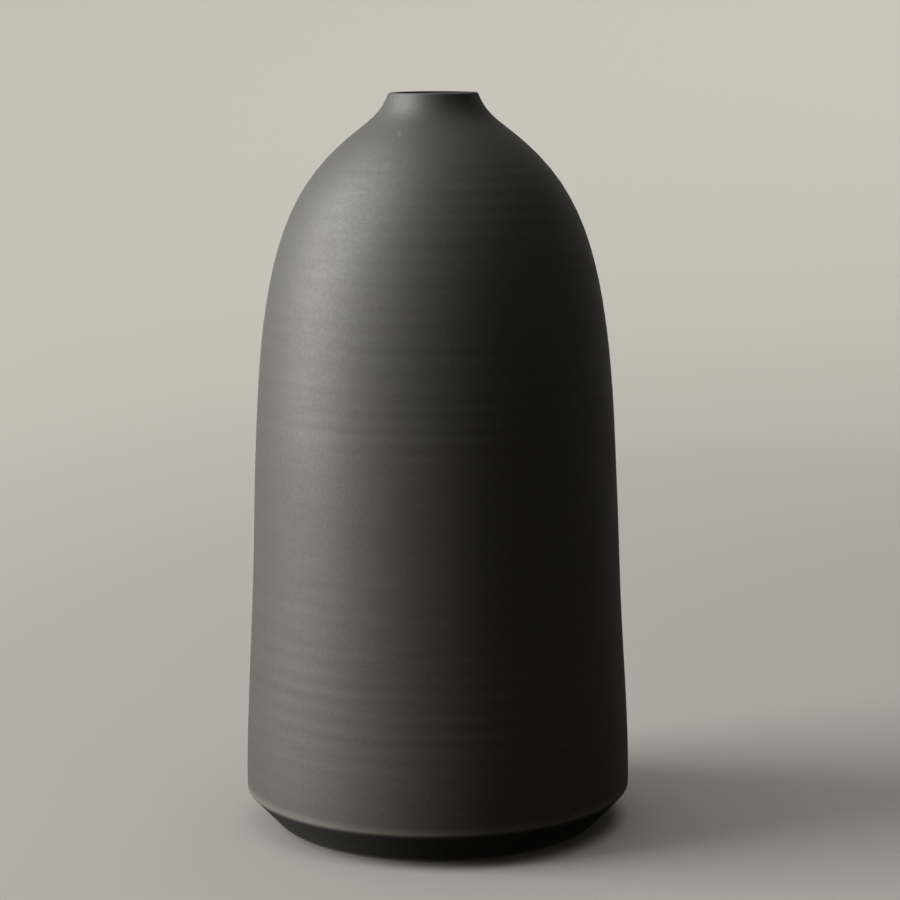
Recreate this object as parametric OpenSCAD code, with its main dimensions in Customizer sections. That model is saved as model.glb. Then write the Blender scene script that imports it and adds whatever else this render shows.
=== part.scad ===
// Tall stoneware vase, wheel-thrown in four sections that are luted together with slip, then glazed.
// Origin at the centre of the foot, on the surface it stands on. +Z is up. Millimetres.
// The section lines below run up the outside of the vase, over the lip and down the inside.

/* [Outside form] */
// Height from the foot to the top of the lip
height = 332; // [326:1:345]
// Diameter at the arris, the edge between the foot bevel and the wall
arris_d = 176; // [170:1:182]
// Height of the arris
arris_h = 15.5; // [13:0.5:19]
// Diameter of the foot, where the bevel meets the surface it stands on
foot_d = 147; // [138:1:152]
// Diameter at the waist, where the wall is straightest
waist_d = 166.6; // [162:0.2:170]
// Height of the waist
waist_h = 130; // [120:1:140]
// Diameter at the turn, where the dome gives way to the collar
turn_d = 96; // [90:1:100]
// Height of the turn
turn_h = 302.8; // [300:0.2:304]
// Outer diameter of the lip
lip_d = 40; // [39:0.5:43]

/* [Outside curves] */
// Lean of the wall towards the axis just above the arris, in degrees
arris_lean = -0.5; // [-1:0.1:1]
// Lean of the wall at the waist
waist_lean = 1.9; // [1:0.1:3]
// Lean of the wall at the turn
turn_lean = 43.5; // [42:0.5:46]
// Lean of the collar at the lip
lip_lean = 21; // [16:1:24]
// Pull of the curve upwards from the arris
arris_pull = 32; // [25:1:40]
// Pull of the curve downwards from the waist
waist_pull_down = 53; // [45:1:60]
// Pull of the curve upwards from the waist
waist_pull_up = 90; // [84:1:94]
// Pull of the curve downwards from the turn
turn_pull_down = 44; // [40:1:48]
// Pull of the curve upwards from the turn
turn_pull_up = 21.5; // [19:0.5:23]
// Pull of the curve downwards from the lip
lip_pull = 13; // [11:0.5:15]
// Rounding of the arris
arris_round = 2.2; // [1:0.1:4]
// Rounding of both edges of the lip
lip_round = 1.3; // [0.8:0.1:1.6]

/* [Inside form] */
// Wall thickness just above the floor
foot_wall = 7; // [6:0.5:8]
// Wall thickness at the waist
waist_wall = 6; // [5:0.5:7]
// Wall thickness at the turn
turn_wall = 5.5; // [5:0.5:6.5]
// Diameter of the throat inside the lip
throat_d = 32; // [31:0.5:33]
// Depth below the lip at which the throat opens out
throat_depth = 10; // [8:0.5:11]
// Height of the floor inside
floor_h = 9; // [8:0.5:11]
// Radius of the corner between floor and wall
corner_r = 14; // [10:1:16]
// Width of the ring that the vase stands on
ring_w = 11; // [8:1:14]
// Rounding of both edges of that ring
ring_round = 0.8; // [0.4:0.1:1.2]
// Depth of the turned recess inside that ring
recess_depth = 2.5; // [1.5:0.1:3]

/* [Glaze] */
// Thickness of the glaze on every glazed surface
glaze_t = 0.4; // [0.3:0.05:0.6]
// Height above the foot at which the outer glaze stops
glaze_stop_h = 1.2; // [0.8:0.1:3]

/* [Luted joints] */
// Height of the joint between the foot section and the wall section
lower_joint_h = 78; // [60:1:95]
// Height of the joint between the wall section and the shoulder section
upper_joint_h = 228; // [210:1:240]
// Height of the joint between the shoulder section and the neck collar
collar_joint_h = 312; // [310:0.5:314]
// Thickness of the slip in a joint, measured up the wall
slip_t = 0.8; // [0.6:0.1:1.2]
// Width of the V tongue along the top of the lower piece
tongue_w = 3.2; // [2:0.2:3.6]
// Height of that tongue
tongue_h = 2.4; // [1:0.2:3]

/* [Hidden] */

$fn = 180;
curve_steps = 18;    // straight steps in each stretch of a curve
round_steps = 6;     // straight steps in each rounding
corner_steps = 10;   // straight steps in the corner between floor and wall
joint_reach = 14;    // how far a joint line runs past the middle of the wall, each way
outside = 20;        // how far a cutting outline runs past the vase

foot_r = foot_d / 2;
throat_r = throat_d / 2;

// ---- Plane geometry: x is the distance from the axis, y is the height ----

function unit(v) = v / norm(v);
function left_of(v) = [-v.y, v.x];
function reversed(list) = [for (i = [len(list) - 1 : -1 : 0]) list[i]];
function part_of(list, first, last) = [for (i = [first : last]) list[i]];
function without_first(list) = part_of(list, 1, len(list) - 1);

// Upward direction that leans towards the axis
function upward(lean) = [-sin(lean), cos(lean)];

// A line moved sideways, to the left of the way it runs
function moved(line, distance) = [
    for (i = [0 : len(line) - 1])
        let (before = line[max(i - 1, 0)], after = line[min(i + 1, len(line) - 1)])
        line[i] + distance * left_of(unit(after - before))
];

// A smooth rise from one place to another, each with a lean and a pull
function rise(from, from_lean, from_pull, to, to_lean, to_pull) =
    let (
        low = from + from_pull * upward(from_lean),
        high = to - to_pull * upward(to_lean)
    )
    [
        for (i = [0 : curve_steps])
            let (t = i / curve_steps, s = 1 - t)
            s * s * s * from + 3 * s * s * t * low + 3 * s * t * t * high + t * t * t * to
    ];

// The rounding, turning left, of the corner between two directions
function rounding(corner, before, after, r, steps) =
    let (
        turn = acos(before * after),
        start = corner - r * tan(turn / 2) * before,
        centre = start + r * left_of(before),
        first = atan2(-left_of(before).y, -left_of(before).x)
    )
    [
        for (i = [0 : steps])
            let (angle = first + turn * i / steps)
            centre + r * [cos(angle), sin(angle)]
    ];

// ---- The finished surface, from the glaze line up, over the lip and down to the floor ----

foot_edge = [foot_r, 0];
arris = [arris_d / 2, arris_h];
waist = [waist_d / 2, waist_h];
turn = [turn_d / 2, turn_h];
lip_outer = [lip_d / 2, height];
lip_inner = [throat_r, height];
inward = [-1, 0];
outward = [1, 0];
downward = [0, -1];

bevel_way = unit(arris - foot_edge);
glaze_stop = foot_edge + bevel_way * glaze_stop_h / bevel_way.y;
arris_line = rounding(arris, bevel_way, upward(arris_lean), arris_round, round_steps);
wall_foot = arris_line[round_steps];
lip_line = rounding(lip_outer, upward(lip_lean), inward, lip_round, round_steps);
wall_line = concat(
    rise(wall_foot, arris_lean, arris_pull, waist, waist_lean, waist_pull_down),
    without_first(rise(waist, waist_lean, waist_pull_up, turn, turn_lean, turn_pull_down)),
    without_first(rise(turn, turn_lean, turn_pull_up, lip_line[0], lip_lean, lip_pull))
);
throat_foot = [throat_r, height - throat_depth];
outer_line = concat(
    [glaze_stop],
    arris_line,
    without_first(wall_line),
    without_first(lip_line),
    rounding(lip_inner, inward, downward, lip_round, round_steps),
    [throat_foot]
);

corner_top = [arris.x - foot_wall, floor_h + corner_r];
waist_inside = waist + waist_wall * left_of(upward(waist_lean));
turn_inside = turn + turn_wall * left_of(upward(turn_lean));
inner_turn_pull = 16;
throat_pull = 9;
inner_line = concat(
    without_first(reversed(concat(
        rise(corner_top, 0, arris_pull, waist_inside, waist_lean, waist_pull_down),
        without_first(rise(waist_inside, waist_lean, waist_pull_up, turn_inside, turn_lean, turn_pull_down)),
        without_first(rise(turn_inside, turn_lean, inner_turn_pull, throat_foot, 0, throat_pull))
    ))),
    [
        for (i = [1 : corner_steps])
            let (angle = -90 * i / corner_steps)
            corner_top + corner_r * [cos(angle) - 1, sin(angle)]
    ],
    [[0, floor_h]]
);

surface = concat(outer_line, inner_line);
clay_surface = moved(surface, glaze_t);
throat_index = len(outer_line) - 1;
last_index = len(surface) - 1;

// ---- The clay under the glaze, and the joints through it ----

clay_foot_r = foot_r - glaze_t / bevel_way.y;
ring_inner_r = clay_foot_r - ring_w;
recess_edge = [ring_inner_r - recess_depth, recess_depth];
clay_outline = concat(
    [[0, recess_depth], recess_edge],
    rounding([ring_inner_r, 0], unit([1, -1]), outward, ring_round, round_steps),
    rounding([clay_foot_r, 0], outward, bevel_way, ring_round, round_steps),
    clay_surface
);

wall_table = [for (p = wall_line) [p.y, p.x]];
function wall_r(h) = lookup(h, wall_table);
function wall_lean(h) = atan2(wall_r(h - 1) - wall_r(h + 1), 2);

// A line across the wall from outside to inside, with a V in the middle, moved up the wall by lift
function joint_line(h, wall, lift) =
    let (
        up = upward(wall_lean(h)),
        middle = [wall_r(h), h] + wall / 2 * left_of(up)
    )
    [
        for (p = [[joint_reach, 0], [tongue_w / 2, 0], [0, tongue_h], [-tongue_w / 2, 0], [-joint_reach, 0]])
            middle - p.x * left_of(up) + (p.y + lift) * up
    ];

lower_joint_below = joint_line(lower_joint_h, waist_wall, -slip_t / 2);
lower_joint_above = joint_line(lower_joint_h, waist_wall, slip_t / 2);
upper_joint_below = joint_line(upper_joint_h, waist_wall, -slip_t / 2);
upper_joint_above = joint_line(upper_joint_h, waist_wall, slip_t / 2);
collar_joint_below = joint_line(collar_joint_h, turn_wall, -slip_t / 2);
collar_joint_above = joint_line(collar_joint_h, turn_wall, slip_t / 2);

below_foot = [[0, lower_joint_h], [0, -outside], [arris.x + outside, -outside]];
above_lip = [[turn.x, height + outside], [0, height + outside], [0, turn_inside.y]];

// ---- Shapes ----

clay_colour = [0.31, 0.29, 0.27];
slip_colour = [0.34, 0.32, 0.30];
glaze_colour = [0.27, 0.265, 0.25];
liner_colour = [0.17, 0.165, 0.155];

// The clay wall between two joint lines
module clay_ring(below, above) {
    rotate_extrude()
        intersection() {
            polygon(clay_outline);
            polygon(concat(below, reversed(above)));
        }
}

// The glaze over a stretch of the surface
module glaze_skin(first, last) {
    rotate_extrude()
        polygon(concat(part_of(surface, first, last), reversed(part_of(clay_surface, first, last))));
}

module foot_section() {
    color(clay_colour)
        clay_ring(reversed(below_foot), lower_joint_below);
}

module wall_section() {
    color(clay_colour)
        clay_ring(lower_joint_above, upper_joint_below);
}

module shoulder_section() {
    color(clay_colour)
        clay_ring(upper_joint_above, collar_joint_below);
}

module neck_collar() {
    color(clay_colour)
        clay_ring(collar_joint_above, above_lip);
}

module lower_slip_joint() {
    color(slip_colour)
        clay_ring(lower_joint_below, lower_joint_above);
}

module upper_slip_joint() {
    color(slip_colour)
        clay_ring(upper_joint_below, upper_joint_above);
}

module collar_slip_joint() {
    color(slip_colour)
        clay_ring(collar_joint_below, collar_joint_above);
}

module outer_glaze() {
    color(glaze_colour)
        glaze_skin(0, throat_index);
}

module liner_glaze() {
    color(liner_colour)
        glaze_skin(throat_index, last_index);
}

foot_section();
wall_section();
shoulder_section();
neck_collar();
lower_slip_joint();
upper_slip_joint();
collar_slip_joint();
outer_glaze();
liner_glaze();
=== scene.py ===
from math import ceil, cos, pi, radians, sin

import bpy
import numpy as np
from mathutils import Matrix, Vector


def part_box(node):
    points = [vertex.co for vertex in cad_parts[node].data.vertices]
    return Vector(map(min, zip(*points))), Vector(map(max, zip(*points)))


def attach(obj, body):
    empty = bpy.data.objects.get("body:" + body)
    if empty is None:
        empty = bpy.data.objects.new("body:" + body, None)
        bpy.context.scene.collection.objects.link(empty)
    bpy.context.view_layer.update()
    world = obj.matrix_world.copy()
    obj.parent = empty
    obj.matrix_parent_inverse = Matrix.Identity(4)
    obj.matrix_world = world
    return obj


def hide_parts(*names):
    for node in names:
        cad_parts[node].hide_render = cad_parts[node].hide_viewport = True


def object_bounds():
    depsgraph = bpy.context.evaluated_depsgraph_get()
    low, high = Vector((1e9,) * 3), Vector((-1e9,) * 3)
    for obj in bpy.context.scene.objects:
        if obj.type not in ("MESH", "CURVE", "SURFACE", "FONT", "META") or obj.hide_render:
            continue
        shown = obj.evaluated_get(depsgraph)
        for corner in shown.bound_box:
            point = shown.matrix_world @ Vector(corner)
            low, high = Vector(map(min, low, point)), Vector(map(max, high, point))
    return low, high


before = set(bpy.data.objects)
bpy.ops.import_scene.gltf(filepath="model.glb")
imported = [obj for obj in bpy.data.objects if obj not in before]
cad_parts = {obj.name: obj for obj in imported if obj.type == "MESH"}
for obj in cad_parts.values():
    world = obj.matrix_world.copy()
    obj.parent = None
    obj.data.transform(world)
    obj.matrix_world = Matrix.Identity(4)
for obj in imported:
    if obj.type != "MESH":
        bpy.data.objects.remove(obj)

# The looks of a tall stoneware vase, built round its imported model. Metres, +Z up.
# Three pieces stand for CAD nodes, with the marks of hand work in their shape: the outer glaze,
# the glaze inside and the clay of the foot. The other nodes are sealed in between those three,
# so they keep their shapes and only get their materials.

cad_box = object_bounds()
MM = 0.001
SEGMENTS = 192              # straight sides in one turn of every turned mesh

# ---- Places on the vase, read from the frame ----

top = cad_box[1].z
lower_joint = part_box("lower_slip_joint")[0].z
upper_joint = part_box("upper_slip_joint")[0].z
seam_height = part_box("liner_glaze")[1].z      # where the two glazes meet, down in the throat


# ---- Lines: arrays of (radius, height) ----

def lengths(line):
    """The length of each stretch of a line."""
    return np.linalg.norm(np.diff(line, axis=0), axis=1)


def along(line):
    """The distance along a line to each of its points."""
    return np.concatenate([[0], np.cumsum(lengths(line))])


def ways_and_bends(line):
    """The direction of each stretch of a line, and the angle it turns by at each corner."""
    way = np.diff(line, axis=0) / lengths(line)[:, None]
    return way, np.arccos(np.clip(np.sum(way[:-1] * way[1:], axis=1), -1, 1))


def outward(line):
    """The direction to the right of a line at each of its points: out of the piece on its left."""
    way = np.gradient(line, axis=0)
    way /= np.linalg.norm(way, axis=1)[:, None]
    return np.c_[way[:, 1], -way[:, 0]]


def outline(node):
    """The outline of a round CAD node: its corners in the order they run, with the node on their left."""
    one_ring = 0.03 * MM    # vertices closer together than this belong to the same corner
    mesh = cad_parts[node].data
    corners = np.array([vertex.co for vertex in mesh.vertices])
    corners = np.round(np.c_[np.hypot(corners[:, 0], corners[:, 1]), corners[:, 2]], 6)
    places, place_of = np.unique(corners, axis=0, return_inverse=True)
    apart = np.linalg.norm(places[:, None] - places[None], axis=2)
    place_of = np.argmax(apart < one_ring, axis=1)[place_of.ravel()]
    beside = {}
    for a, b in place_of[np.array([edge.vertices for edge in mesh.edges])]:
        if a != b:
            beside.setdefault(a, set()).add(b)
            beside.setdefault(b, set()).add(a)
    ends = [place for place in beside if len(beside[place]) == 1]
    order = [min(ends or beside, key=lambda place: places[place][1])]
    while len(order) < len(beside):
        order.append(next(place for place in beside[order[-1]] if place not in order))
    line = places[order]
    if ends:                # flat discs close the two ends, out to the axis
        line = np.vstack([line[:1] * [0, 1], line, line[-1:] * [0, 1]])
    following = np.roll(line, -1, axis=0)
    area = np.sum(line[:, 0] * following[:, 1] - line[:, 1] * following[:, 0])
    if area > 0:
        return line
    return line[::-1] if ends else np.roll(line[::-1], 1, axis=0)


def smoothed(line, step):
    """A smooth curve through a line's corners, with a point about every step. Sharp corners stay."""
    sharp = radians(25)
    fine = 0.05 * MM
    length = lengths(line)
    way, bend = ways_and_bends(line)
    through = line[2:] - line[:-2]
    through /= np.linalg.norm(through, axis=1)[:, None]
    rounded = (bend < sharp)[:, None]
    leaving = np.vstack([way[:1], np.where(rounded, through, way[1:])]) * length[:, None]
    arriving = np.vstack([np.where(rounded, through, way[:-1]), way[-1:]]) * length[:, None]
    dense = [line[:1]]
    for i, here in enumerate(line[:-1]):
        t = np.linspace(0, 1, ceil(length[i] / fine) + 1)[1:, None]
        dense.append(
            (2 * t**3 - 3 * t**2 + 1) * here
            + (t**3 - 2 * t**2 + t) * leaving[i]
            + (3 * t**2 - 2 * t**3) * line[i + 1]
            + (t**3 - t**2) * arriving[i]
        )
    return spaced(np.vstack(dense), step)


def spaced(curve, step):
    """Points of a dense curve, step apart where it is straight and closer together where it bends."""
    most_turn = radians(7)
    bend = ways_and_bends(curve)[1]
    bend = np.concatenate([[0], np.minimum(bend, most_turn)])
    share = np.concatenate([[0], np.cumsum(lengths(curve) / step + bend / most_turn)])
    count = np.arange(len(curve))
    picks = np.interp(np.linspace(0, share[-1], ceil(share[-1]) + 1), share, count)
    return np.c_[np.interp(picks, count, curve[:, 0]), np.interp(picks, count, curve[:, 1])]


# ---- Marks of hand work, over the points of a line and the angles of one turn ----

angles = np.linspace(0, 2 * pi, SEGMENTS, endpoint=False)[None]


def fade(x, start, end):
    """0 before start, 1 after end and a smooth change in between."""
    t = np.clip((x - start) / (end - start), 0, 1)
    return t * t * (3 - 2 * t)


def near(height, place, reach):
    """1 at a place, and a smooth fall to almost nothing at twice the reach."""
    return np.exp(-(((height - place) / reach) ** 2))


def ripples(rng, height, angle, pitch, turns=1):
    """Uneven waves with crests about pitch apart, most of them between -1.5 and 1.5. Each wave runs
    round the axis as a spiral that climbs up to `turns` crests in one turn."""
    waves = 7
    total = np.zeros(np.broadcast(height, angle).shape)
    for _ in range(waves):
        rate = 2 * pi / (pitch * rng.uniform(0.84, 1.22))
        climb = rng.integers(-turns, turns + 1)
        total += np.sin(rate * height + climb * angle + rng.uniform(0, 2 * pi))
    return total / np.sqrt(waves / 2)


def cut(wave, depth):
    """A wave turned into a cut of at most depth, and never less than nothing."""
    reach = 1.6
    return depth * (0.5 + np.clip(wave, -reach, reach) / (2 * reach))


def turning_marks(height):
    """How deep the wall is cut by the ribs and turning tools, under the glaze."""
    rng = np.random.default_rng(41)
    height = height[:, None]
    at_upper_joint = 1.1 * near(height, upper_joint - 10 * MM, 38 * MM)
    at_lower_joint = 1.25 * near(height, lower_joint - 4 * MM, 33 * MM)
    quieter_above = 1 - 0.75 * fade(height, upper_joint + 20 * MM, upper_joint + 42 * MM)
    strength = (0.5 + at_upper_joint + at_lower_joint) * quieter_above
    coarse = cut(ripples(rng, height, angles, 7 * MM), 0.048 * MM)
    fine = cut(ripples(rng, height, angles, 4.6 * MM), 0.020 * MM)
    slow = cut(ripples(rng, height, angles, 70 * MM, turns=2), 0.10 * MM)
    pressed = 0.6 + 0.4 * fade(ripples(rng, height, angles, 60 * MM, turns=3), -1.3, 1.3)
    least = 0.03 * MM       # keeps the coat inside the CAD's box, whose round wall has flat sides
    return (coarse + fine) * strength * pressed + slow + least


def throwing_ridges(distance):
    """How far the fingers' ridges stand out of the wall inside, by the distance along it."""
    rng = np.random.default_rng(7)
    distance = distance[:, None]
    spiral = np.sin(2 * pi * distance / (11 * MM) + angles)
    uneven = ripples(rng, distance, angles, 60 * MM)
    return cut(spiral + 0.5 * uneven, 0.55 * MM)


# ---- Meshes: rings of SEGMENTS vertices, one ring for each point of a line ----

def in_scene(name, data):
    """A new object, linked into the scene."""
    made = bpy.data.objects.new(name, data)
    bpy.context.scene.collection.objects.link(made)
    return made


def ring_places(radius, height):
    """The places of the vertices of rings, from the radius and height of each ring or vertex."""
    places = [radius * np.cos(angles), radius * np.sin(angles), height + 0 * angles]
    return np.stack(places, axis=-1).reshape(-1, 3)


def ring_faces(rings, closed):
    """Faces from each ring to the next one, and from the last ring to the first if closed."""
    here = np.arange(rings if closed else rings - 1)[:, None] * SEGMENTS
    above = (here + SEGMENTS) % (rings * SEGMENTS)
    side = np.arange(SEGMENTS)[None]
    after = (side + 1) % SEGMENTS
    corners = [here + side, here + after, above + after, above + side]
    return np.stack(corners, axis=-1).reshape(-1, 4).tolist()


def turned_piece(name, radius, height, ridges=None):
    """A closed mesh turned round the axis, from a grid of radii and heights. A grid that starts and
    ends on the axis is closed there, and any other is closed from its last row to its first. Ridges
    are a grid of their heights, which the mesh keeps for its material."""
    on_axis = radius[0].max() < 1e-7
    rows = slice(1, -1) if on_axis else slice(None)
    places = ring_places(radius[rows], height[rows])
    rings = len(radius[rows])
    faces = ring_faces(rings, closed=not on_axis)
    if on_axis:
        last = (rings - 1) * SEGMENTS
        start = rings * SEGMENTS
        end = start + 1
        places = np.vstack([places, [0, 0, height[0].mean()], [0, 0, height[-1].mean()]])
        faces += [[start, (i + 1) % SEGMENTS, i] for i in range(SEGMENTS)]
        faces += [[end, last + i, last + (i + 1) % SEGMENTS] for i in range(SEGMENTS)]
    mesh = bpy.data.meshes.new(name)
    mesh.from_pydata(places.tolist(), [], faces)
    if ridges is not None:
        tall = np.zeros(len(places), dtype=np.float32)
        tall[: ridges[rows].size] = ridges[rows].ravel()
        mesh.attributes.new("ridges", "FLOAT", "POINT").data.foreach_set("value", tall)
    mesh.shade_smooth()
    mesh.set_sharp_from_angle(angle=radians(40))
    return in_scene(name, mesh)


def cut_into(line, depth):
    """Grids of radii and heights for a line that is moved to its left by depth, into its piece."""
    out = outward(line)
    return line[:, :1] - out[:, :1] * depth, line[:, 1:] - out[:, 1:] * depth


# ---- The two glaze coats ----

outer_outline = outline("outer_glaze")
liner_outline = outline("liner_glaze")
glaze_t = liner_outline[-1][1] - liner_outline[0][1]
throat_r = outer_outline[:, 0].min()
seam = np.array([throat_r, seam_height])


def at_seam(line):
    """The number of the point where a line meets the other glaze."""
    return np.argmin(np.linalg.norm(line - seam, axis=1))


# The side of each coat that isn't on the clay: the outer one runs from the foot up, over the lip and
# down to the seam, and the inner one from the seam down to the middle of the floor.
glaze_line = outer_outline[: at_seam(outer_outline) + 1]
liner_line = liner_outline[at_seam(liner_outline):]
arris_height = glaze_line[np.argmax(2 * glaze_line[:, 0] - glaze_line[:, 1])][1]   # furthest out and down


def clay_side(line, step):
    """Grids for the side of a coat that lies on the clay. It runs the other way along the coat's line,
    so the coat is on its right."""
    return cut_into(smoothed(line, step)[::-1], np.full((1, SEGMENTS), -glaze_t))


def glaze_coat():
    """The satin glaze outside: over the wall and the lip, and a little way down the throat."""
    rng = np.random.default_rng(11)
    shown = smoothed(glaze_line, 1.15 * MM)
    lead_in = np.linspace(0, 1, 8)[:-1, None] ** 2      # more points where the glaze's edge is round
    shown = np.vstack([shown[0] + (shown[1] - shown[0]) * lead_in, shown[1:]])
    distance = along(shown)[:, None]
    whole = distance[-1]
    still = 1 - fade(distance, whole - 14 * MM, whole - 2 * MM)
    marks = turning_marks(shown[:, 1]) * still
    bead = 0.45 * MM        # the glaze thins to a rounded edge over this distance
    thin = glaze_t * 0.85 * (1 - np.sqrt(1 - np.clip(1 - distance / bead, 0, 1) ** 2))
    radius, level = cut_into(shown, marks + thin)
    on_bevel = 12           # the number of a point well past the round edge
    up_bevel = shown[on_bevel] - shown[0]
    up_bevel /= np.linalg.norm(up_bevel)
    waver = cut(ripples(rng, 0, angles * 3, 1, turns=3), 0.7 * MM) * (1 - fade(distance, 0, 6 * MM))
    radius = radius + waver * up_bevel[0]
    level = level + waver * up_bevel[1]
    lip_dip = cut(np.sin(2 * angles + 0.6), 0.12 * MM)
    level = level - lip_dip * fade(level, top - 5 * MM, top)
    back_radius, back_level = clay_side(glaze_line, 5 * MM)
    return turned_piece("glaze_coat", np.vstack([radius, back_radius]), np.vstack([level, back_level]))


def liner_coat():
    """The glossy glaze inside, over the ridges that the fingers left."""
    shown = smoothed(liner_line, 1.6 * MM)
    distance = along(shown)
    still = fade(distance[:, None], 6 * MM, 30 * MM) * fade(shown[:, :1], 1 * MM, 12 * MM)
    ridges = throwing_ridges(distance) * still
    radius, level = cut_into(shown, -ridges)
    back_radius, back_level = clay_side(liner_line, 4 * MM)
    radius = np.vstack([back_radius, radius])
    radius[[0, -1]] = 0
    ridges = np.vstack([np.zeros(back_radius.shape), ridges])
    return turned_piece("liner_coat", radius, np.vstack([back_level, level]), ridges)


def foot_clay():
    """The clay of the foot section, with the turned recess and the ring that the vase stands on."""
    rng = np.random.default_rng(5)
    shown = smoothed(outline("foot_section"), 1.2 * MM)
    from_axis = shown[:, :1]
    height = shown[:, 1:]
    faces_down = outward(shown)[:, 1:] < -0.1
    below = faces_down & (height < 3 * MM)
    recess = below & (height > 0.1 * MM)
    spiral = np.sin(2 * pi * from_axis / (3.1 * MM) - angles)
    uneven = ripples(rng, from_axis, angles, 14 * MM)
    grooves = cut(spiral + 0.6 * uneven, 0.30 * MM) * recess * fade(from_axis, 0, 6 * MM)
    chatter = cut(ripples(rng, from_axis * 3, angles * 5, 4 * MM, turns=4), 0.05 * MM) * (below & ~recess)
    radius, level = cut_into(shown, grooves + chatter)
    radius[[0, -1]] = 0
    return turned_piece("foot_clay", radius, np.maximum(level, 0))


# ---- Shader nodes ----

def new_material(name):
    """A material with its node tree and its shader."""
    material = bpy.data.materials.new(name)
    material.use_nodes = True
    return material, material.node_tree, material.node_tree.nodes["Principled BSDF"]


def set_or_link(tree, socket, value):
    """Gives a socket a value, or links it to the output of another node."""
    if isinstance(value, bpy.types.NodeSocket):
        tree.links.new(value, socket)
    else:
        socket.default_value = value


def add(tree, kind, inputs, **settings):
    """Adds a shader node. An input is a value, or the output of another node."""
    made = tree.nodes.new("ShaderNode" + kind)
    for name, value in settings.items():
        setattr(made, name, value)
    for socket, value in inputs.items():
        set_or_link(tree, made.inputs[socket], value)
    return made


def place(tree, stretch=(1, 1, 1)):
    """Object coordinates, stretched."""
    where = add(tree, "TexCoord", {}).outputs["Object"]
    return add(tree, "Mapping", {"Vector": where, "Scale": stretch}).outputs["Vector"]


def level_of(tree):
    """The height above the table."""
    return add(tree, "SeparateXYZ", {"Vector": place(tree)}).outputs["Z"]


def length_of(tree, vector):
    """The length of a vector."""
    return add(tree, "VectorMath", {0: vector}, operation="LENGTH").outputs["Value"]


def axis_distance(tree):
    """The distance from the vase's axis."""
    return length_of(tree, place(tree, (1, 1, 0)))


def grain(tree, where, size, detail=2.0, rough=0.5):
    """Noise whose features are about size across. Most of it lies between 0.3 and 0.7."""
    return add(
        tree, "TexNoise", {"Vector": where, "Scale": 1 / size, "Detail": detail, "Roughness": rough}
    ).outputs["Fac"]


def ranged(tree, value, low, high, to_low, to_high):
    """A value carried from one range to another, smoothly and no further."""
    return add(
        tree,
        "MapRange",
        {"Value": value, "From Min": low, "From Max": high, "To Min": to_low, "To Max": to_high},
        interpolation_type="SMOOTHSTEP",
    ).outputs["Result"]


def spread(tree, noise, to_low, to_high):
    """A noise carried from where most of it lies to another range."""
    return ranged(tree, noise, 0.3, 0.7, to_low, to_high)


def worked_out(tree, operation, a, b=0.0):
    """Arithmetic on one or two numbers."""
    return add(tree, "Math", {0: a, 1: b}, operation=operation).outputs[0]


def times(tree, a, b):
    return worked_out(tree, "MULTIPLY", a, b)


def plus(tree, a, b):
    return worked_out(tree, "ADD", a, b)


def mixed(tree, factor, a, b):
    """Two colours mixed by a factor. A colour is three numbers, or the output of another node."""
    made = add(tree, "Mix", {"Factor": factor}, data_type="RGBA")
    colour_a, colour_b = made.inputs[6], made.inputs[7]
    for socket, colour in ((colour_a, a), (colour_b, b)):
        set_or_link(tree, socket, colour if isinstance(colour, bpy.types.NodeSocket) else (*colour, 1))
    return made.outputs[2]


def bumped(tree, shader, *layers):
    """Bumps the surface with layers of (value, height in metres)."""
    normal = None
    for value, height in layers:
        inputs = {"Height": value, "Distance": height, "Strength": 1.0}
        if normal:
            inputs["Normal"] = normal
        normal = add(tree, "Bump", inputs).outputs["Normal"]
    tree.links.new(normal, shader.inputs["Normal"])


# ---- Materials ----

def rub_mark(tree):
    """1 in the middle of a small upright rub on the shoulder, beside the neck, falling to 0 around it."""
    azimuth = radians(-25)      # 0 is the front, and left is negative
    height = top - 17.2 * MM
    rising = glaze_line[: np.argmax(glaze_line[:, 1])]
    from_axis = np.interp(height, rising[:, 1], rising[:, 0])
    centre = (from_axis * sin(azimuth), -from_axis * cos(azimuth), height)
    off = add(tree, "VectorMath", {0: place(tree), 1: centre}, operation="SUBTRACT").outputs["Vector"]
    across = worked_out(tree, "ABSOLUTE", add(tree, "SeparateXYZ", {"Vector": off}).outputs["X"])
    away = plus(tree, length_of(tree, off), times(tree, across, 2))
    return ranged(tree, away, 0.6 * MM, 4.2 * MM, 1, 0)


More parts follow.
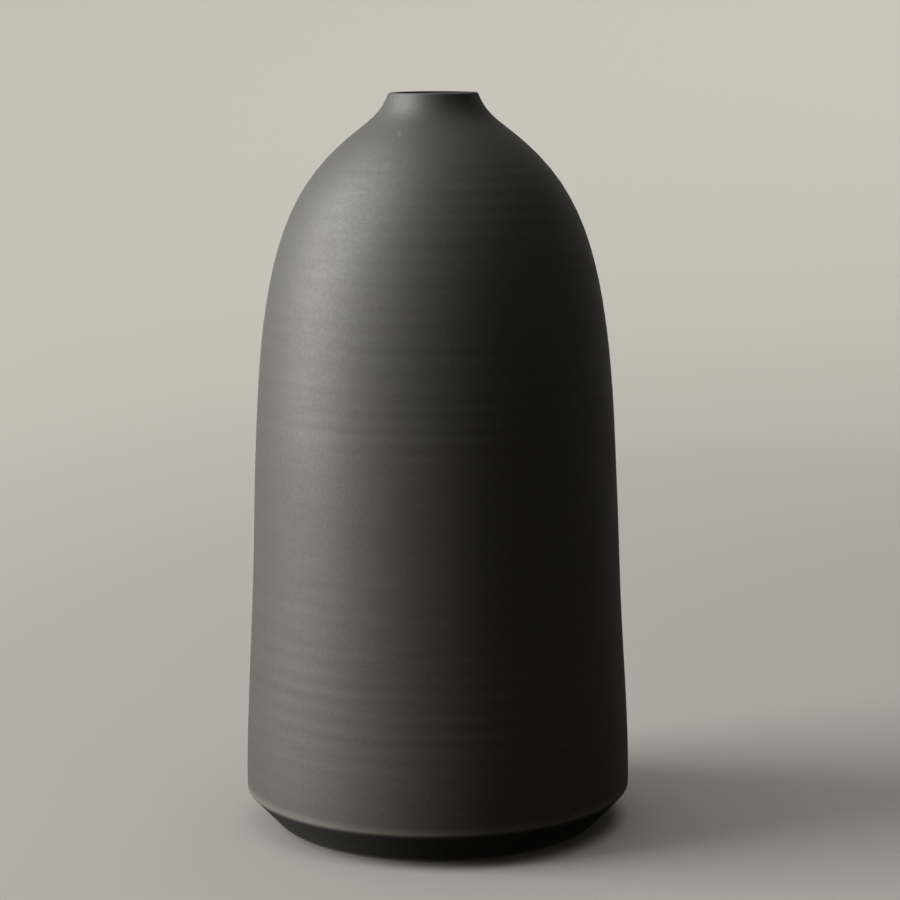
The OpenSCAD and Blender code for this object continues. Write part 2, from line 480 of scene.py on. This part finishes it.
def satin_glaze():
    """Charcoal satin glaze: browner where it thins low on the wall, clouded, faintly banded by the
    rings under it, lighter at the arris and the lip where the glaze wears thin, with a painted highlight
    there too, darkened by painted shade in the hollow of the neck, and rougher and painted dark as shade
    inside the lip."""
    charcoal = (0.0400, 0.0420, 0.0400)
    brown = (0.0490, 0.0442, 0.0412)
    cloud = (0.026, 0.0255, 0.024)
    pale_band = (0.062, 0.060, 0.056)
    dark_speck = (0.020, 0.020, 0.019)
    pale_speck = (0.085, 0.083, 0.078)
    # painted shade: the colour that darkens the hollow of the neck
    neck_shade_colour = (0.016, 0.017, 0.016)
    # partly glaze wearing thin, partly a painted highlight, at the arris and the lip
    edge_wear_and_highlight_colour = (0.115, 0.104, 0.092)
    rubbed = (0.15, 0.145, 0.135)
    # painted shade: a near-black for the inner lip, standing for the shade inside the mouth
    painted_shade_black = (0.006, 0.006, 0.006)

    material, tree, shader = new_material("satin_glaze")
    level = level_of(tree)
    where = place(tree)
    clouds = grain(tree, where, 42 * MM, 3)
    hue = grain(tree, place(tree, (1, 1, 0.6)), 25 * MM, 2)
    bands = grain(tree, place(tree, (0.12, 0.12, 1)), 7 * MM, 4, 0.6)
    mottle = grain(tree, where, 1.6 * MM, 3, 0.65)
    dust = grain(tree, where, 0.5 * MM, 2, 0.6)
    fine = grain(tree, where, 0.35 * MM, 3, 0.6)
    soft = grain(tree, place(tree, (0.5, 0.5, 1)), 2.5 * MM, 2)

    thin = ranged(tree, plus(tree, level, times(tree, hue, 160 * MM)), 110 * MM, 400 * MM, 1, 0)
    thin = times(tree, thin, ranged(tree, level, arris_height - 2 * MM, arris_height + 2 * MM, 0.3, 1))
    # painted shade over the hollow of the neck, which tones down the highlight there
    neck_shade = ranged(tree, level, top - 24 * MM, top - 8 * MM, 0, 0.28)
    # a lighter band just above the arris and at the lip: the glaze wearing thin there, and a painted
    # highlight
    arris = times(
        tree,
        ranged(tree, level, arris_height - 1.8 * MM, arris_height - 0.2 * MM, 0, 1),
        ranged(tree, level, arris_height - 0.2 * MM, arris_height + 5.2 * MM, 1, 0),
    )
    lip = ranged(tree, level, top - 1.2 * MM, top, 0, 1)
    edge_wear_and_highlight = times(tree, plus(tree, times(tree, arris, 0.85), times(tree, lip, 0.2)), plus(tree, clouds, 0.4))
    # the inner lip gets painted shade in its colour, and a higher roughness
    inside = ranged(tree, axis_distance(tree), throat_r + 1.8 * MM, throat_r + 2.8 * MM, 1, 0)

    colour = mixed(tree, thin, charcoal, brown)
    colour = mixed(tree, spread(tree, clouds, 0, 0.16), colour, cloud)
    colour = mixed(tree, spread(tree, bands, 0, 0.12), colour, pale_band)
    colour = mixed(tree, spread(tree, mottle, 0, 0.36), colour, dark_speck)
    colour = mixed(tree, ranged(tree, dust, 0.35, 0.75, 0, 0.24), colour, pale_speck)
    colour = mixed(tree, neck_shade, colour, neck_shade_colour)
    colour = mixed(tree, edge_wear_and_highlight, colour, edge_wear_and_highlight_colour)
    colour = mixed(tree, times(tree, rub_mark(tree), 0.26), colour, rubbed)
    colour = mixed(tree, inside, colour, painted_shade_black)
    tree.links.new(colour, shader.inputs["Base Color"])

    rough = spread(tree, clouds, 0.545, 0.595)
    rough = plus(tree, rough, spread(tree, bands, -0.02, 0.02))
    rough = plus(tree, rough, spread(tree, mottle, -0.02, 0.02))
    rough = plus(tree, rough, times(tree, inside, 0.38))
    tree.links.new(rough, shader.inputs["Roughness"])
    bumped(tree, shader, (soft, 0.02 * MM), (mottle, 0.012 * MM), (fine, 0.012 * MM))
    return material


def liner_glaze():
    """Dark glossy glaze, thin on the ridges and gathered thicker between them."""
    dark = (0.030, 0.029, 0.027)
    light = (0.042, 0.040, 0.037)
    clay_showing = (0.085, 0.075, 0.062)

    material, tree, shader = new_material("liner_glaze")
    where = place(tree)
    clouds = grain(tree, where, 30 * MM, 3)
    ridge = add(tree, "Attribute", {}, attribute_name="ridges").outputs["Fac"]
    colour = mixed(tree, spread(tree, clouds, 0, 1), dark, light)
    colour = mixed(tree, ranged(tree, ridge, 0.2 * MM, 0.5 * MM, 0, 0.5), colour, clay_showing)
    tree.links.new(colour, shader.inputs["Base Color"])
    tree.links.new(spread(tree, clouds, 0.16, 0.26), shader.inputs["Roughness"])
    bumped(tree, shader, (grain(tree, where, 3 * MM, 2), 0.05 * MM))
    return material


def bare_clay(name, light, dark):
    """Fired clay with no glaze: dry, open and flecked with grog."""
    fleck = [1.7 * part for part in light]
    pit = [0.6 * part for part in dark]

    material, tree, shader = new_material(name)
    where = place(tree)
    clouds = grain(tree, where, 14 * MM, 4, 0.6)
    grit = grain(tree, where, 0.7 * MM, 3, 0.65)
    flecks = add(tree, "TexVoronoi", {"Vector": where, "Scale": 1 / (1.6 * MM)}).outputs["Distance"]
    colour = mixed(tree, spread(tree, clouds, 0, 1), dark, light)
    colour = mixed(tree, ranged(tree, flecks, 0.10, 0.22, 0.55, 0), colour, fleck)
    colour = mixed(tree, ranged(tree, grit, 0.4, 0.7, 0, 0.35), colour, pit)
    tree.links.new(colour, shader.inputs["Base Color"])
    tree.links.new(spread(tree, grit, 0.82, 0.96), shader.inputs["Roughness"])
    bumped(tree, shader, (clouds, 0.15 * MM), (grit, 0.09 * MM))
    return material


# ---- The vase ----

glazed = satin_glaze()
lined = liner_glaze()
clay = bare_clay("stoneware_clay", (0.092, 0.081, 0.068), (0.066, 0.058, 0.049))
slip = bare_clay("luting_slip", (0.108, 0.096, 0.081), (0.084, 0.075, 0.062))

for piece, material, slot, node in (
    (glaze_coat(), glazed, "satin_glaze", "outer_glaze"),
    (liner_coat(), lined, "liner_glaze", "liner_glaze"),
    (foot_clay(), clay, "stoneware_clay", "foot_section"),
):
    piece.data.materials.append(material)
    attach(piece, "root")
    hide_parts(node)

for node in ("wall_section", "shoulder_section", "neck_collar"):
    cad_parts[node].material_slots[0].material = clay
for node in ("lower_slip_joint", "upper_slip_joint", "collar_slip_joint"):
    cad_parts[node].material_slots[0].material = slip


# ---- Studio ----

def studio_floor():
    """A pale floor that curves up into a wall all round, with darker paint round the vase. It neither
    lights the vase nor shows in its glaze."""
    reach = 2.0
    cove = 1.0
    height = 2.6
    near_paint = (0.225, 0.22, 0.208)
    far_paint = (0.395, 0.382, 0.354)
    bend = np.linspace(-pi / 2, 0, 24)
    line = np.vstack([
        [[0, 0], [0.4, 0], [0.8, 0]],
        np.c_[reach - cove + cove * np.cos(bend), cove + cove * np.sin(bend)],
        [[reach, height]],
    ])
    places = ring_places(line[:, :1], line[:, 1:])
    mesh = bpy.data.meshes.new("studio_floor")
    mesh.from_pydata(places.tolist(), [], ring_faces(len(line), closed=False))
    mesh.shade_smooth()
    floor = in_scene("studio_floor", mesh)
    material, tree, shader = new_material("studio_floor")
    paint = mixed(tree, ranged(tree, axis_distance(tree), 0.2, 2.3, 0, 1), near_paint, far_paint)
    tree.links.new(paint, shader.inputs["Base Color"])
    shader.inputs["Roughness"].default_value = 0.9
    mesh.materials.append(material)
    floor.visible_diffuse = False
    floor.visible_glossy = False
    floor.visible_shadow = False
    return floor


def lamp(name, where, width, height, power):
    """A soft rectangular panel of daylight that lights what is in front of it, and isn't seen itself."""
    light = bpy.data.lights.new(name, "AREA")
    light.shape = "RECTANGLE"
    light.size = width
    light.size_y = height
    light.energy = power
    light.color = (1, 0.985, 0.94)
    panel = in_scene(name, light)
    panel.matrix_world = where
    panel.visible_camera = False
    return panel


def link_to(panel, floor, state):
    """Makes a panel light the floor alone (INCLUDE), or everything but the floor (EXCLUDE)."""
    lit = bpy.data.collections.new(panel.name + "_link")
    lit.objects.link(floor)
    lit.collection_objects[0].light_linking.link_state = state
    panel.light_linking.receiver_collection = lit


def from_left(elevation, distance):
    """A place at the left, facing the middle of the vase."""
    azimuth = -84               # 0 is the front, and left is negative
    aim = Matrix.Translation((0, 0, top / 2))
    turn = Matrix.Rotation(radians(azimuth), 4, "Z") @ Matrix.Rotation(radians(90 - elevation), 4, "X")
    return aim @ turn @ Matrix.Translation((0, 0, distance))


def lights(floor):
    """A tall soft window for the vase. The floor and the wall have their own soft light from the same
    side, further off, and an even light from above, so that they are pale from every side."""
    overhead = Matrix.Translation((-0.3, 0.3, 2.5))
    window = lamp("window", from_left(elevation=28.2, distance=1.5), width=0.93, height=2.05, power=78)
    side = lamp("floor_side", from_left(elevation=34, distance=4.2), width=2.6, height=2.6, power=300)
    above = lamp("floor_above", overhead, width=3.4, height=3.4, power=66)
    link_to(window, floor, "EXCLUDE")
    link_to(side, floor, "INCLUDE")
    link_to(above, floor, "INCLUDE")


def ambient():
    """Dim light from the room: paler at the left and behind, and dark below the horizon."""
    from_all_round = 0.122
    from_the_left = 0.48
    from_behind = 0.28
    world = bpy.data.worlds.new("studio")
    world.use_nodes = True
    tree = world.node_tree
    way = add(tree, "TexCoord", {}).outputs["Generated"]
    part = add(tree, "SeparateXYZ", {"Vector": way}).outputs
    above_horizon = ranged(tree, part["Z"], -0.35, 0, 0, 1)
    left = worked_out(tree, "POWER", worked_out(tree, "MINIMUM", part["X"]), 2)
    behind = worked_out(tree, "POWER", worked_out(tree, "MAXIMUM", part["Y"]), 3)
    glow = plus(tree, times(tree, left, from_the_left), times(tree, behind, from_behind))
    glow = plus(tree, glow, from_all_round)
    tree.links.new(times(tree, glow, above_horizon), tree.nodes["Background"].inputs["Strength"])
    tree.nodes["Background"].inputs["Color"].default_value = (1, 0.965, 0.88, 1)
    bpy.context.scene.world = world


def camera():
    """The eye, a little above the lip and looking slightly down."""
    eye_place = (0.0065, -1.193, 0.3612)
    tilt = radians(80.92)       # a right angle looks level
    roll = radians(-0.36)
    lens = bpy.data.cameras.new("camera")
    lens.lens = 106.3
    lens.sensor_width = 36
    eye = in_scene("camera", lens)
    eye.matrix_world = (
        Matrix.Translation(eye_place) @ Matrix.Rotation(tilt, 4, "X") @ Matrix.Rotation(roll, 4, "Z")
    )
    bpy.context.scene.camera = eye


lights(studio_floor())
ambient()
camera()
bpy.context.scene.view_settings.view_transform = "Standard"
